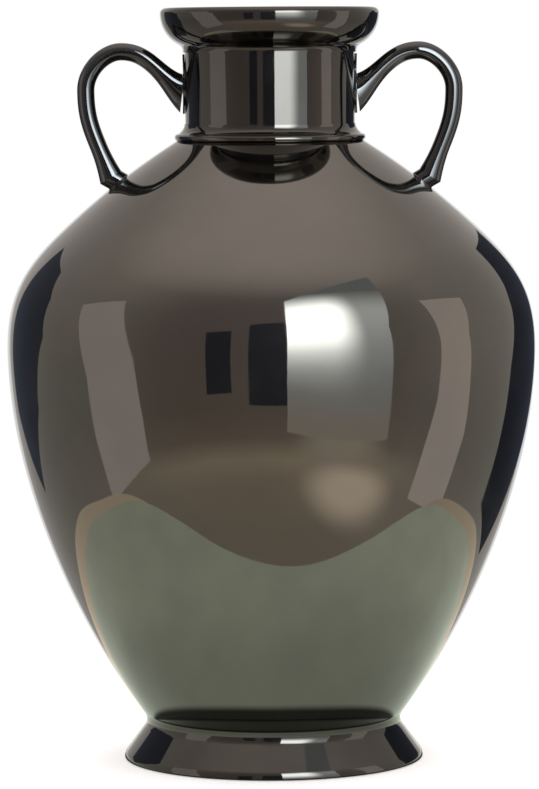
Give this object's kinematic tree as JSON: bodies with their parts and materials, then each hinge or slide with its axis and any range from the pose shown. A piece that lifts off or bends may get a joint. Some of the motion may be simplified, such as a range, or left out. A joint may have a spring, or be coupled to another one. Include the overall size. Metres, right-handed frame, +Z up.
{
  "type": "urn vase",
  "caption": "Tall broad-shouldered urn vase on a flared foot, with a straight neck, a dished rim and a rod loop handle on each side, to hold flowers or stand alone.",
  "frame": {"origin": "centre of the flat ring that the foot stands on, at table level", "axes": "+Z up along the urn's axis, X through both handles, the pictured side towards -Y"},
  "size_m": [0.321, 0.321, 0.457],
  "materials": {
    "plated_shell": "polished",
    "plated_fitting": "polished"
  },
  "bodies": {
    "root": {"foot": "plated_shell", "bowl": "plated_shell", "shoulder": "plated_shell", "neck": "plated_shell", "collar_ring": "plated_shell", "rim": "plated_shell", "left_neck_leaf": "plated_fitting", "right_neck_leaf": "plated_fitting", "left_handle": "plated_fitting", "right_handle": "plated_fitting", "left_handle_stub": "plated_fitting", "right_handle_stub": "plated_fitting"}
  },
  "joints": []
}
